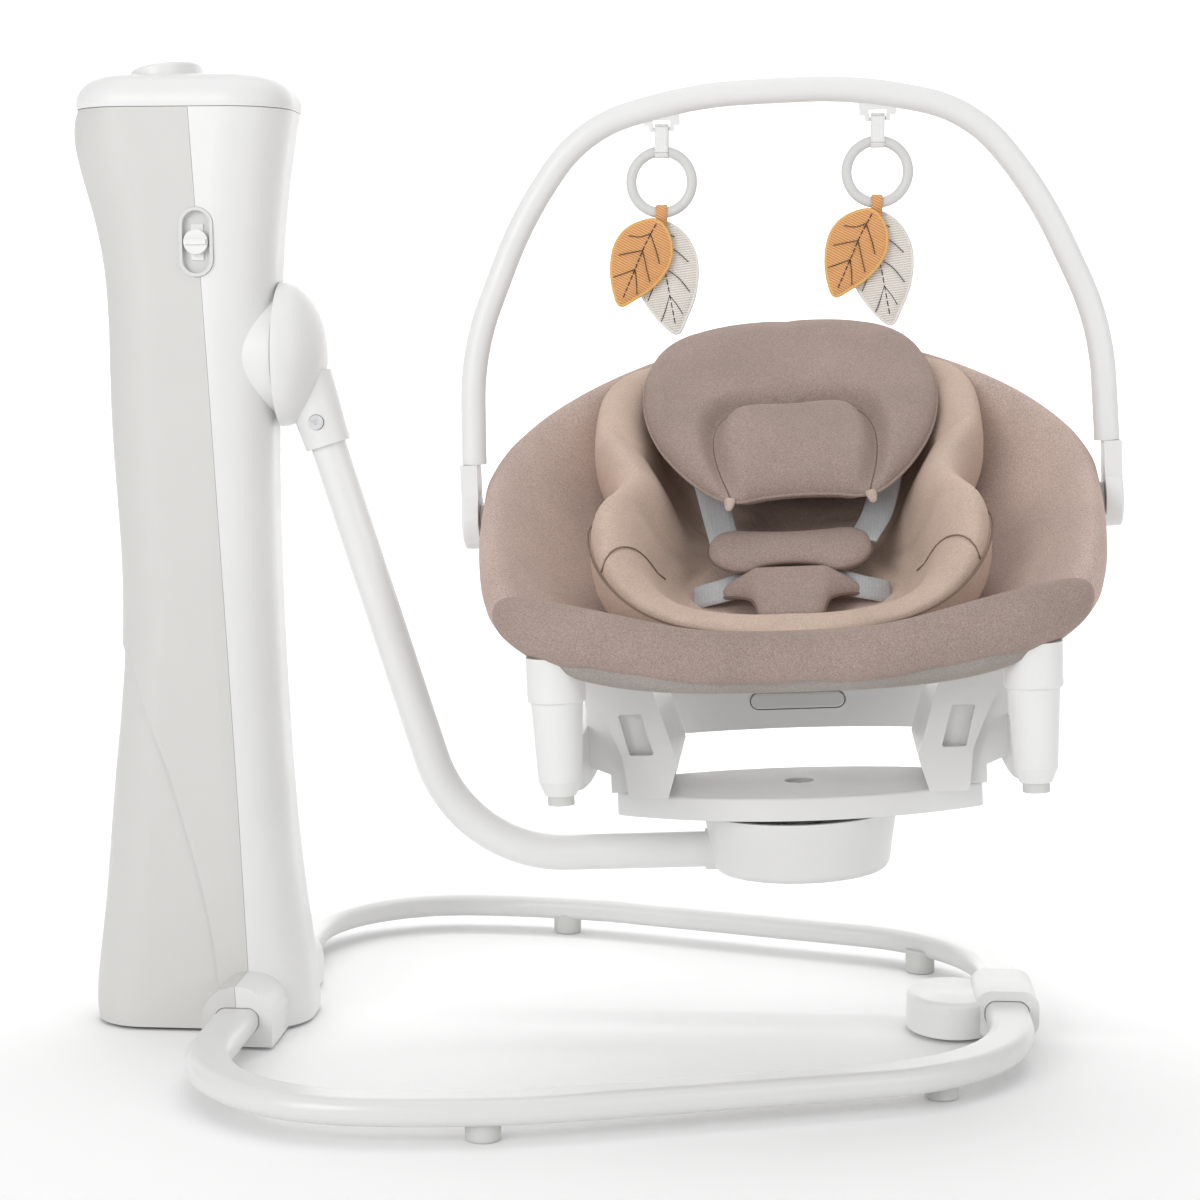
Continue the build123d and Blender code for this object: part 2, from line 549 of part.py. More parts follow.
# ---- toy bar ----
def make_bar_pivots():
    """Brackets on the hoop, and the pins that the toy bar turns on."""
    frame = seat_frame()
    brackets, pins = [], []
    for s in (-1, 1):
        x0, x1 = sorted((s * 250, s * 272.3))
        brackets.append(Pos((x0 + x1) / 2, 0, BAR_PIVOT_Z) * Rotation(0, 90, 0) * Cylinder(14, x1 - x0))
        pins.append(rod((s * 272, 0, BAR_PIVOT_Z), (s * 285, 0, BAR_PIVOT_Z), 4))
    hoop = parts_at_rest(["seat_hoop"], frame)
    cover = parts_at_rest(["seat_cover"], frame)
    solids = []
    for s, bracket, pin in zip((-1, 1), brackets, pins):
        body = sorted((bracket - hoop - cover).solids(), key=lambda b: s * b.center().X)[-1]
        solids.append(frame * (body + pin))
    keep("bar_brackets", Compound([b.solid() for b in solids]))


def make_toy_bar():
    frame = seat_frame()
    knuckles = []
    top = BAR_PIVOT_Z + 50
    for s in (-1, 1):
        knuckle = Pos(s * BAR_PIVOT_X, 0, BAR_PIVOT_Z) * Rotation(0, 90, 0) * Cylinder(25, 15)
        knuckle = knuckle + Pos(s * BAR_PIVOT_X, 0, BAR_PIVOT_Z + 25) * Box(15, 32, 50)
        knuckle = fillet(knuckle.edges().filter_by(GeomType.CIRCLE).group_by(Axis.X)[-1 if s > 0 else 0], 3)
        knuckle = knuckle - rod((s * 270, 0, BAR_PIVOT_Z), (s * 285.2, 0, BAR_PIVOT_Z), 4.05)
        knuckles.append(frame * knuckle)
    keep("bar_knuckles", Compound([k.solid() for k in knuckles]))
    side = [(277, 0, top + 0.2), (274, 0, BAR_PIVOT_Z + 150),
            (224, 0, 540), (168, 0, 614), (70, 0, BAR_TOP_Z)]
    corners = [(-x, y, z) for x, y, z in side] + side[::-1]
    path = FilletPolyline(*corners, radius=rounded_radii(corners))
    keep("toy_bar", tube_along(path, Circle(BAR_R)) - tube_along(path, Circle(BAR_R - 2)), frame)


def make_toys():
    frame = seat_frame()
    bar = parts_at_rest(["toy_bar"], frame)
    hangers = []
    for name, s in (("left", -1), ("right", 1)):
        x, z = s * HANGER_X + HANGER_SHIFT, HANGER_Z
        hanger = block(-16, 16, -2, 2, -5, 14) - block(-7.5, 7.5, -20, 20, -20, -0.4)
        hanger = hanger + block(-11, -7, -2, 2, -10, -4) + block(7, 11, -2, 2, -10, -4)
        hanger = Pos(x, 0, z) * (hanger + rod((-8, 0, -8), (8, 0, -8), 1.6))
        hangers.append(frame * sorted((hanger - bar).solids(), key=lambda b: b.center().Z)[0])
        toy = frame * Location((x, 0, z - 8)) * Rotation(0, SEAT_TILT, 0)
        band = block(-6, 6, -4.6, 4.6, -33.4, 4.2) - block(-7, 7, -3.2, 3.2, -19, 2.8)
        band = band - block(-7, 7, -3.2, 3.2, -22, -19)
        centre_z = -19 - TOY_RING_R
        ring = Pos(0, 0, centre_z) * Rotation(90, 0, 0) * Torus(TOY_RING_R, TOY_RING_TUBE)
        room = Pos(0, 0, centre_z) * Rotation(90, 0, 0) * Torus(TOY_RING_R, TOY_RING_TUBE + 0.2)
        band = band & block(-6, 6, -6, 6, -26, 5)
        band = band + Pos(0, 0, -19) * Rotation(0, 90, 0) * Cylinder(TOY_RING_TUBE + 1.8, 12)
        band = band - room - block(-7, 7, -3.2, 3.2, -15, 2.8)
        keep(f"toy_strap_{name}", band.solids().sort_by(SortBy.VOLUME)[-1], toy)
        keep(f"toy_ring_{name}", ring, toy)
        pin_z = centre_z - TOY_RING_R
        loop = Pos(0, 0, pin_z) * Rotation(0, 90, 0) * (Cylinder(7.2, 9) - Cylinder(5.6, 10))
        front = Pos(0, -3.2, pin_z - 6.2) * leaf(82, 48, 25)
        keep(f"leaf_front_{name}", front + loop - block(-40, 40, 0.3, 30, pin_z - 200, pin_z - 7.4), toy)
        keep(f"leaf_back_{name}", Pos(0, 3.2, pin_z - 7.6) * leaf(100, 56, -9), toy)
    keep("toy_hangers", Compound([h.solid() for h in hangers]))


def leaf(length, width, lean):
    """A padded leaf hanging from its tip at the origin, leaning sideways in degrees."""
    half = width / 2
    with BuildSketch(Plane.XZ) as outline:
        with BuildLine():
            ThreePointArc((0, 0), (half, -length * 0.5), (0, -length))
            ThreePointArc((0, -length), (-half, -length * 0.5), (0, 0))
        make_face()
    return Rotation(0, lean, 0) * extrude(outline.sketch, amount=2.8, both=True)


make_tower()
make_cap()
make_pod()
make_tower_foot()
make_battery_bay()
make_drive()
make_ring()
make_coupler()
make_arm()
make_hub()
make_plate()
make_hoop()
make_sides()
make_crossbar()
make_cover()
make_body_support()
make_head_support()
make_harness()
make_bar_pivots()
make_toy_bar()
make_toys()

os.makedirs("parts", exist_ok=True)
for name, shape in parts.items():
    solids = shape.solids()
    whole = solids[0] if len(solids) == 1 else Compound(solids)
    export_step(Pos(-ORIGIN_X, 0, 0) * whole, f"parts/{name}.step")
print(len(parts), "nodes")
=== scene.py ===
import json
import math

import bpy
import numpy as np
from mathutils import Matrix, Vector


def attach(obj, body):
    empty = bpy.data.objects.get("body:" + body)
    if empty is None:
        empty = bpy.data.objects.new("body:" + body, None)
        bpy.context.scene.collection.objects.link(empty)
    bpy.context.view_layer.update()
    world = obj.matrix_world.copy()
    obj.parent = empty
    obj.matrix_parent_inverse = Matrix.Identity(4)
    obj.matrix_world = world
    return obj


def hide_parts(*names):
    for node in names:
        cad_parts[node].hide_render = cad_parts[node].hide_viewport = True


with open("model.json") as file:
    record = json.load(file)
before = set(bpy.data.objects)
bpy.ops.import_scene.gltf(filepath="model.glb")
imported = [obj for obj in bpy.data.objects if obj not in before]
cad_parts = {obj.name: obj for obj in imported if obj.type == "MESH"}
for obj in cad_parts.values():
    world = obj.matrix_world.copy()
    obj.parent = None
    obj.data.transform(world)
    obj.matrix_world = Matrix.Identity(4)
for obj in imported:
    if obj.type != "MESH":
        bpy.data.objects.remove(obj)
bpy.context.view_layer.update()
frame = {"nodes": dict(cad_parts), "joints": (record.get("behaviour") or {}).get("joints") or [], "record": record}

# The seat's own frames. SEAT is the hub's, X right, Y back, Z up, tilted with the unloaded arm.
# HOOP is the hoop's sloping plane: u right, v up the slope, w out of the plane.
SEAT_TILT = math.radians(2.45)
RECLINE = math.radians(27.5)
HOOP_HEIGHT = 0.290
HUB = Vector(next(j for j in frame["joints"] if j["name"] == "seat_swivel")["pos_m"])
SEAT = Matrix.Translation(HUB) @ Matrix.Rotation(-SEAT_TILT, 4, "Y")
HOOP = SEAT @ Matrix.Translation((0, 0, HOOP_HEIGHT)) @ Matrix.Rotation(RECLINE, 4, "X")
SIDES = (("left", -1), ("right", 1))


# ---------------------------------------------------------------- materials
class Shader:
    """A node material with a Principled shader, and short ways to add nodes to it."""

    def __init__(self, name, **sockets):
        self.mat = bpy.data.materials.new(name)
        self.mat.use_nodes = True
        self.tree = self.mat.node_tree
        self.bsdf = self.tree.nodes["Principled BSDF"]
        self.place = self.node("ShaderNodeTexCoord").outputs["Object"]
        for key, value in sockets.items():
            self.bsdf.inputs[key.replace("_", " ")].default_value = value

    def node(self, kind, **values):
        made = self.tree.nodes.new(kind)
        for key, value in values.items():
            if hasattr(made, key):
                setattr(made, key, value)
            else:
                made.inputs[key.replace("_", " ")].default_value = value
        return made

    def link(self, a, b):
        self.tree.links.new(a, b)

    def mapped(self, scale=(1, 1, 1), rotation=(0, 0, 0)):
        made = self.node("ShaderNodeMapping")
        made.inputs["Scale"].default_value = scale
        made.inputs["Rotation"].default_value = rotation
        self.link(self.place, made.inputs["Vector"])
        return made.outputs["Vector"]

    def noise(self, scale, detail=2.0, vector=None, rough=0.5):
        made = self.node("ShaderNodeTexNoise", Scale=scale, Detail=detail, Roughness=rough)
        self.link(vector or self.place, made.inputs["Vector"])
        return made.outputs["Fac"]

    def wave(self, scale, vector, direction):
        made = self.node("ShaderNodeTexWave", Scale=scale, bands_direction=direction)
        self.link(vector, made.inputs["Vector"])
        return made.outputs["Fac"]

    def ramp(self, fac, stops):
        made = self.node("ShaderNodeValToRGB")
        cells = made.color_ramp.elements
        while len(cells) < len(stops):
            cells.new(0.5)
        for cell, (at, color) in zip(cells, stops):
            cell.position = at
            cell.color = (*color, 1)
        self.link(fac, made.inputs["Fac"])
        return made.outputs["Color"]

    def mix(self, a, b, fac, blend="MIX"):
        """Colour mix of two sockets or colours by a socket or a number."""
        made = self.node("ShaderNodeMix", data_type="RGBA", blend_type=blend)
        for key, value in ((6, a), (7, b), (0, fac)):
            if isinstance(value, bpy.types.NodeSocket):
                self.link(value, made.inputs[key])
            elif key == 0:
                made.inputs[key].default_value = value
            else:
                made.inputs[key].default_value = (*value, 1)
        return made.outputs[2]

    def math(self, op, a, b):
        made = self.node("ShaderNodeMath", operation=op)
        for i, value in enumerate((a, b)):
            if isinstance(value, bpy.types.NodeSocket):
                self.link(value, made.inputs[i])
            else:
                made.inputs[i].default_value = value
        return made.outputs[0]

    def spread(self, fac, low, high):
        """A noise value stretched to run from low to high."""
        made = self.node("ShaderNodeMapRange")
        made.inputs["From Min"].default_value = 0.3
        made.inputs["From Max"].default_value = 0.7
        made.inputs["To Min"].default_value = low
        made.inputs["To Max"].default_value = high
        self.link(fac, made.inputs["Value"])
        return made.outputs["Result"]

    def color(self, socket):
        self.link(socket, self.bsdf.inputs["Base Color"])

    def rough(self, fac, low, high):
        self.link(self.spread(fac, low, high), self.bsdf.inputs["Roughness"])

    def bump(self, height, strength, distance):
        made = self.node("ShaderNodeBump", Strength=strength, Distance=distance)
        self.link(height, made.inputs["Height"])
        if self.bsdf.inputs["Normal"].is_linked:
            self.link(self.bsdf.inputs["Normal"].links[0].from_socket, made.inputs["Normal"])
        self.link(made.outputs["Normal"], self.bsdf.inputs["Normal"])


def near(color, share):
    """A lighter or darker colour."""
    return tuple(min(1.0, c * share) for c in color)


def plastic(name, color, rough=0.38, grain=900.0, grain_depth=0.00003):
    """Moulded plastic: slight shade changes, fine spark-eroded grain, gloss that varies a little."""
    s = Shader(name, Specular_IOR_Level=0.45)
    cloud = s.noise(14.0, 3.0)
    s.color(s.ramp(cloud, [(0.3, near(color, 0.99)), (0.7, near(color, 1.01))]))
    s.rough(s.noise(60.0, 3.0), rough - 0.05, rough + 0.07)
    s.bump(s.noise(grain, 2.0), 0.25, grain_depth)
    return s.mat


def painted(name, color, rough=0.30):
    """Powder-coated tube: orange-peel gloss over smooth metal."""
    s = Shader(name, Specular_IOR_Level=0.5, Coat_Weight=0.25, Coat_Roughness=0.22)
    s.color(s.ramp(s.noise(9.0, 2.0), [(0.3, near(color, 0.99)), (0.7, near(color, 1.01))]))
    s.rough(s.noise(12.0, 2.0), rough - 0.02, rough + 0.03)
    s.bump(s.noise(420.0, 1.0), 0.08, 0.00002)
    return s.mat


def melange(name, dark, light):
    """Brushed knit: fine fibres in two shades, soft cloudiness, a low nap and a soft sheen."""
    s = Shader(name, Roughness=0.93, Specular_IOR_Level=0.18, Sheen_Weight=0.28,
               Sheen_Roughness=0.5)
    middle = tuple((a + b) / 2 for a, b in zip(dark, light))
    s.bsdf.inputs["Sheen Tint"].default_value = (*light, 1)
    fibres = s.noise(1.0, 3.0, s.mapped((620, 620, 1500), (0.2, 0.1, 0.5)), 0.7)
    cross = s.noise(1.0, 3.0, s.mapped((1500, 700, 620), (0.1, 0.7, 0.2)), 0.7)
    threads = s.math("MULTIPLY", s.math("ADD", fibres, cross), 0.5)
    base = s.ramp(threads, [(0.38, dark), (0.50, middle), (0.62, light)])
    cloud = s.ramp(s.noise(11.0, 4.0, rough=0.6),
                   [(0.3, (0.90, 0.90, 0.90)), (0.7, (1.06, 1.05, 1.05))])
    s.color(s.mix(base, cloud, 1.0, "MULTIPLY"))
    s.bump(threads, 0.45, 0.0005)
    s.bump(s.noise(55.0, 3.0), 0.25, 0.0016)
    return s.mat


def webbing(name, dark, light):
    """Woven strap: ribs across and along."""
    s = Shader(name, Roughness=0.85, Specular_IOR_Level=0.25, Sheen_Weight=0.15, Sheen_Roughness=0.5)
    along = s.wave(260.0, s.mapped(), "X")
    across = s.wave(330.0, s.mapped(rotation=(0.5, 0.0, 0.0)), "Z")
    weave = s.math("MULTIPLY", s.math("ADD", along, across), 0.5)
    tone = s.math("MULTIPLY", s.math("ADD", weave, s.noise(700.0, 2.0)), 0.5)
    s.color(s.ramp(tone, [(0.3, dark), (0.7, light)]))
    s.bump(weave, 0.6, 0.0005)
    return s.mat


def corduroy(name, valley, rib, lean, pitch=0.0021):
    """Ribbed cloth: ribs lie across the leaf, and the valleys between them are painted darker, painted shade in
    the grooves.
    """
    s = Shader(name, Roughness=0.9, Specular_IOR_Level=0.15, Sheen_Weight=0.3, Sheen_Roughness=0.45)
    ribs = s.wave(math.pi / 10 / pitch, s.mapped(rotation=(0, lean, 0)), "Z")
    fuzz = s.noise(1400.0, 3.0)
    tone = s.math("ADD", s.math("MULTIPLY", ribs, 0.75), s.math("MULTIPLY", fuzz, 0.25))
    # the valley colour is painted shade in the grooves between the ribs
    s.color(s.ramp(tone, [(0.25, valley), (0.6, rib)]))
    s.bump(ribs, 0.8, 0.0007)
    s.bump(fuzz, 0.3, 0.0003)
    return s.mat


def steel(name, color=(0.52, 0.52, 0.53)):
    """Plated or drawn metal with a faint brushed gloss."""
    s = Shader(name, Metallic=1.0)
    s.color(s.ramp(s.noise(90.0, 3.0), [(0.3, near(color, 0.9)), (0.7, near(color, 1.1))]))
    s.rough(s.noise(300.0, 3.0, s.mapped((1, 8, 1))), 0.25, 0.42)
    s.bump(s.noise(900.0, 2.0), 0.15, 0.00004)
    return s.mat


def thread(name, color):
    """Twisted sewing thread or piping."""
    s = Shader(name, Roughness=0.75, Specular_IOR_Level=0.3)
    twist = s.wave(700.0, s.mapped(rotation=(0.4, 0.6, 0.2)), "DIAGONAL")
    s.color(s.ramp(twist, [(0.2, near(color, 0.7)), (0.8, near(color, 1.15))]))
    s.bump(twist, 0.5, 0.0003)
    return s.mat


MELANGE_DARK, MELANGE_LIGHT = (0.380, 0.280, 0.238), (0.660, 0.535, 0.480)
# The pads' melange is the cover's melange made darker: painted shade on the head support, front roll and harness
# pads, which are the same fabric as the cover.
PAD_PAINTED_SHADE = 0.66
INSERT_DARK, INSERT_LIGHT = (0.470, 0.352, 0.285), (0.660, 0.525, 0.440)
MATS = {
    "tower_plastic": plastic("tower_shell_plastic", (0.620, 0.615, 0.597), 0.42),
    "white_plastic": plastic("white_moulded_plastic", (0.78, 0.78, 0.775), 0.36),
    "switch_grey": plastic("light_grey_plastic", (0.66, 0.66, 0.65), 0.42),
    "buckle_plastic": plastic("buckle_plastic", (0.33, 0.33, 0.34), 0.45),
    "bearing_plastic": plastic("natural_acetal", (0.70, 0.69, 0.65), 0.4),
    "circuit_green": plastic("circuit_laminate", (0.05, 0.22, 0.08), 0.4),
    "battery_metal": plastic("battery_jacket", (0.14, 0.14, 0.15), 0.35),
    "black_plastic": plastic("black_moulded_plastic", (0.03, 0.03, 0.032), 0.45),
    "rubber_grey": plastic("pale_rubber", (0.62, 0.62, 0.60), 0.62),
    "ring_grey_plastic": plastic("ring_moulding", (0.64, 0.64, 0.63), 0.34),
    "ring_paint": painted("ring_powder_coat", (0.71, 0.71, 0.705)),
    "arm_paint": painted("arm_powder_coat", (0.79, 0.79, 0.785)),
    "cover_fabric": melange("taupe_melange", MELANGE_DARK, MELANGE_LIGHT),
    # pad_fabric: the cover melange darkened by the pad factor, painted shade
    "pad_fabric": melange("taupe_melange_pads_painted_shade", near(MELANGE_DARK, PAD_PAINTED_SHADE),
                          near(MELANGE_LIGHT, PAD_PAINTED_SHADE)),
    "insert_fabric": melange("beige_knit", INSERT_DARK, INSERT_LIGHT),
    # The skirt melange is darker and greyer than the cover: painted shade on the cover's underside and on the
    # binding below the front roll.
    "skirt_fabric": melange("grey_skirt_painted_shade", (0.27, 0.24, 0.22), (0.40, 0.37, 0.345)),
    "strap_webbing": webbing("grey_webbing", (0.34, 0.35, 0.36), (0.56, 0.57, 0.585)),
    "toy_strap_cloth": webbing("white_ribbon", (0.78, 0.78, 0.77), (0.90, 0.90, 0.895)),
    "orange_cloth": corduroy("orange_corduroy", (0.60, 0.265, 0.10), (0.86, 0.47, 0.21),
                             math.radians(-28)),
    "leaf_grey_cloth": corduroy("pale_corduroy", (0.63, 0.59, 0.54), (0.88, 0.84, 0.78),
                                math.radians(8)),
    "orange_piping": thread("orange_piping", (0.88, 0.50, 0.17)),
    "pale_piping": thread("pale_piping", (0.86, 0.83, 0.78)),
    "dark_thread": thread("dark_thread", (0.045, 0.04, 0.045)),
    "seam_thread": thread("taupe_thread", (0.20, 0.14, 0.115)),
    "insert_thread": thread("beige_thread", (0.27, 0.19, 0.15)),
    "steel": steel("zinc_plated_steel"),
    "motor_metal": steel("motor_can", (0.45, 0.45, 0.46)),
}

slot_of = {s["node"]: s["material_slot"] for s in frame["record"]["subparts"]}
for name, node in frame["nodes"].items():
    node.data.materials.clear()
    node.data.materials.append(MATS[slot_of[name]])


# ---------------------------------------------------------------- curves and meshes
def smooth_run(a, b, c, d):
    """24 points of a Catmull-Rom curve from b towards c."""
    t = np.linspace(0, 1, 24, endpoint=False)[:, None]
    return 0.5 * (2 * b + (c - a) * t + (2 * a - 5 * b + 4 * c - d) * t**2
                  + (3 * b - a - 3 * c + d) * t**3)


def closed_curve(points, count):
    """Evenly spaced points round a smooth closed curve through some points."""
    p = np.asarray(points, float)
    n = len(p)
    runs = [smooth_run(p[i - 1], p[i], p[(i + 1) % n], p[(i + 2) % n]) for i in range(n)]
    return even(np.vstack(runs), count, True)


def open_curve(points, count):
    """Evenly spaced points along a smooth open curve through some points."""
    p = np.asarray(points, float)
    p = np.vstack([2 * p[0] - p[1], p, 2 * p[-1] - p[-2]])
    runs = [smooth_run(*p[i - 1:i + 3]) for i in range(1, len(p) - 2)]
    runs.append(p[-2][None])
    return even(np.vstack(runs), count, False)


def ease(share):
    """0 to 1 with soft ends."""
    share = np.clip(share, 0, 1)
    return share**2 * (3 - 2 * share)


def hump(distance, reach):
    """1 at no distance, falling softly to 0."""
    return np.exp(-((distance / reach) ** 2))


def even(points, count, closed):
    """The same line with evenly spaced points."""
    line = np.vstack([points, points[:1]]) if closed else points
    lengths = np.r_[0, np.cumsum(np.linalg.norm(np.diff(line, axis=0), axis=1))]
    at = np.linspace(0, lengths[-1], count, endpoint=not closed)
    return np.column_stack([np.interp(at, lengths, line[:, i]) for i in range(line.shape[1])])


def mirrored(points):
    """A right-hand half outline, from its first point on the middle line to its last, made whole."""
    half = [tuple(p) for p in points]
    other = [(-p[0], *p[1:]) for p in half[::-1] if abs(p[0]) > 1e-6]
    return half + other


def to_line(points, line, closed):
    """Distance of each point to a polyline."""
    line = np.asarray(line, float)
    a = line if closed else line[:-1]
    b = np.roll(line, -1, axis=0) if closed else line[1:]
    best = np.full(len(points), 1e9)
    for p, q in zip(a, b):
        run = q - p
        t = np.clip(((points - p) @ run) / max(run @ run, 1e-12), 0, 1)
        best = np.minimum(best, np.linalg.norm(points - p - t[:, None] * run, axis=1))
    return best


def mesh_object(name, points, faces, mat, place=None):
    """A smooth-shaded mesh in the row frame from points in a local frame."""
    points = [Vector(p) for p in points]
    if place is not None:
        points = [place @ p for p in points]
    mesh = bpy.data.meshes.new(name)
    mesh.from_pydata(points, [], faces)
    mesh.validate()
    mesh.update()
    mesh.materials.append(mat)
    piece = bpy.data.objects.new(name, mesh)
    bpy.context.scene.collection.objects.link(piece)
    mesh.polygons.foreach_set("use_smooth", [True] * len(mesh.polygons))
    return piece


def lathe_faces(rows, around, closed=False):
    """Faces between rings of points, with a fan over each end unless the last ring meets the first."""
    faces = []
    for i in range(rows if closed else rows - 1):
        j = (i + 1) % rows
        for k in range(around):
            m = (k + 1) % around
            faces.append((i * around + k, i * around + m, j * around + m, j * around + k))
    if not closed:
        first, last = rows * around, (rows - 1) * around
        faces += [(first, (k + 1) % around, k) for k in range(around)]
        faces += [(first + 1, last + k, last + (k + 1) % around) for k in range(around)]
    return faces


def rings_object(name, rings, mat, place=None):
    """A closed form through rings of points, fanned shut at both ends."""
    rings = [np.asarray(r, float) for r in rings]
    around = len(rings[0])
    points = np.vstack(rings + [rings[0].mean(0)[None], rings[-1].mean(0)[None]])
    return mesh_object(name, points, lathe_faces(len(rings), around), mat, place)


def tube_object(name, line, radius, mat, sides=8, closed=False, place=None, flat=1.0):
    """A round or oval tube along points. radius is a number or one for each point; flat squeezes it."""
    line = np.asarray(line, float)
    count = len(line)
    radii = np.full(count, radius) if np.isscalar(radius) else np.asarray(radius, float)
    if closed:
        runs = np.roll(line, -1, axis=0) - np.roll(line, 1, axis=0)
    else:
        runs = np.gradient(line, axis=0)
    runs /= np.maximum(np.linalg.norm(runs, axis=1), 1e-9)[:, None]
    side = np.cross(runs[0], (0.0, 0.0, 1.0))
    if np.linalg.norm(side) < 0.2:
        side = np.cross(runs[0], (0.0, 1.0, 0.0))
    turn = np.linspace(0, 2 * math.pi, sides, endpoint=False)
    c, s = np.cos(turn)[:, None], np.sin(turn)[:, None]
    rings = []
    for point, run, size in zip(line, runs, radii):
        side = side - run * (side @ run)
        side /= np.linalg.norm(side)
        rings.append(point + size * (c * side + flat * s * np.cross(run, side)))
    if closed:
        return mesh_object(name, np.vstack(rings), lathe_faces(count, sides, True), mat, place)
    return rings_object(name, rings, mat, place)


def ribbon_object(name, line, across, width, thick, mat, place=None):
    """A flat strap along points, with rounded edges. across is the width's direction, one for each
    point or one for all."""
    line = np.asarray(line, float)
    across = np.broadcast_to(np.asarray(across, float), line.shape)
    runs = np.gradient(line, axis=0)
    runs /= np.linalg.norm(runs, axis=1)[:, None]
    across = across - runs * np.sum(across * runs, axis=1)[:, None]
    across /= np.linalg.norm(across, axis=1)[:, None]
    out = np.cross(runs, across)
    w, t = width / 2, thick / 2
    upper = [(-w * 0.96, t), (-w * 0.5, t * 1.05), (0, t), (w * 0.5, t * 1.05), (w * 0.96, t)]
    section = [(-w, 0), *upper, (w, 0), *((x, -y) for x, y in upper[::-1])]
    rings = [p + np.array([a * x + o * y for x, y in section]) for p, a, o in zip(line, across, out)]
    return rings_object(name, rings, mat, place)


def subdivide(piece):
    mod = piece.modifiers.new("Subdivision", "SUBSURF")
    mod.levels = 1
    mod.render_levels = 1


# ---------------------------------------------------------------- padded pieces by cloth simulation
CLOTH_FRAMES = 20
waiting = []


def puff(piece, pinned, pressure, cap, growth=0.0):
    """Marks a padded piece for the cloth run. Its pinned points, the seams, stay where they are, and no
    point moves more than cap. growth is the share that the cloth stretches by."""
    waiting.append((piece, [int(i) for i in pinned], pressure, cap, growth))


def points_in_rows(rows, around):
    return [i for row in rows for i in range(row * around, (row + 1) * around)]


def run_cloth():
    """Inflates all waiting pieces at once, with gravity off, and keeps the result as their mesh."""
    scene = bpy.context.scene
    before = {}
    for piece, pinned, pressure, _, growth in waiting:
        group = piece.vertex_groups.new(name="seams")
        group.add(pinned, 1.0, "REPLACE")
        mod = piece.modifiers.new("Cloth", "CLOTH")
        cloth = mod.settings
        cloth.quality = 5
        cloth.mass = 0.15
        cloth.tension_stiffness = 20
        cloth.compression_stiffness = 12
        cloth.shear_stiffness = 8
        cloth.bending_stiffness = 2.0
        cloth.air_damping = 4
        cloth.use_pressure = True
        cloth.uniform_pressure_force = pressure
        cloth.shrink_min = -growth
        cloth.vertex_group_mass = "seams"
        cloth.effector_weights.gravity = 0
        mod.point_cache.frame_start = 1
        mod.point_cache.frame_end = CLOTH_FRAMES
        before[piece.name] = np.array([v.co for v in piece.data.vertices])
    for step in range(1, CLOTH_FRAMES + 1):
        scene.frame_set(step)
    graph = bpy.context.evaluated_depsgraph_get()
    results = {}
    for piece, *_ in waiting:
        shape = piece.evaluated_get(graph).to_mesh()
        results[piece.name] = np.array([v.co for v in shape.vertices])
    for piece, _, _, cap, _ in waiting:
        rest = before[piece.name]
        move = results[piece.name] - rest
        size = np.linalg.norm(move, axis=1)
        move *= (cap * np.tanh(size / cap) / np.maximum(size, 1e-9))[:, None]
        piece.modifiers.remove(piece.modifiers["Cloth"])
        piece.vertex_groups.clear()
        piece.data.vertices.foreach_set("co", (rest + move).ravel())
        piece.data.update()
    scene.frame_set(1)


def pillow(name, outline, mat, top, bottom, edge, around, rings, seams=(), seam_depth=0.75,
           seam_reach=0.009, base=None, place=HOOP, centre=None):
    """A sewn pillow, crowned between its edge seam and any inner seams. Returns the piece, its pinned
    points, a function that gives the surface point over (u, v), and the rim."""
    rim = closed_curve(outline, around)
    middle = np.array(centre) if centre is not None else rim.mean(0)
    lift = base or (lambda p: np.zeros(len(p)))

    def crown(p):
        gap = to_line(p, rim, True)
        h = np.sqrt(np.clip(1 - (1 - np.minimum(gap / edge, 1)) ** 2, 0, 1))
        for seam in seams:
            h = h * (1 - seam_depth * hump(to_line(p, seam, False), seam_reach))
        return h

    shares = 1 - (1 - np.linspace(0, 1, rings + 1)[1:]) ** 1.5
    upper, lower = [], []
    for share in shares:
        flat = middle + share * (rim - middle)
        h = crown(flat) if share < 1 else np.zeros(len(flat))
        upper.append(np.column_stack([flat, lift(flat) + top * h]))
        lower.append(np.column_stack([flat, lift(flat) - bottom * h]))
    rows = upper + lower[:-1][::-1]
    piece = rings_object(name, rows, mat, place)
    pinned = list(range((len(upper) - 1) * around, len(upper) * around))
    for i, row in enumerate(upper[:-1]):
        for seam in seams:
            close = to_line(row[:, :2], seam, False) < 0.0035
            pinned += [i * around + int(k) for k in np.nonzero(close)[0]]

    def surface(points, over=0.0):
        p = np.asarray(points, float)
        return np.column_stack([p, lift(p) + top * crown(p) + over])

    return piece, pinned, surface, rim


def soft(piece, body):
    """Attaches a padded piece to its body."""
    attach(piece, body)


def trim(piece, body):
    """Attaches a strap, seam, welt or other small piece to its body."""
    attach(piece, body)


# ---------------------------------------------------------------- seat cover
COVER_HALF, COVER_FRONT, COVER_BACK = 0.271, 0.290, 0.272
FRONT_POWER, BACK_POWER = 0.64, 1.18


def cover_outline(count):
    """The cover's outer edge in the hoop's plane: squarish in front, pointed behind."""
    turn = np.linspace(0, 2 * math.pi, 720, endpoint=False)
    c, s = np.cos(turn), np.sin(turn)
    power = np.where(s < 0, FRONT_POWER, BACK_POWER)
    u = COVER_HALF * np.sign(c) * np.abs(c) ** power
    v = np.where(s > 0, COVER_BACK, COVER_FRONT) * np.sign(s) * np.abs(s) ** power
    return even(np.column_stack([u, v]), count, True)


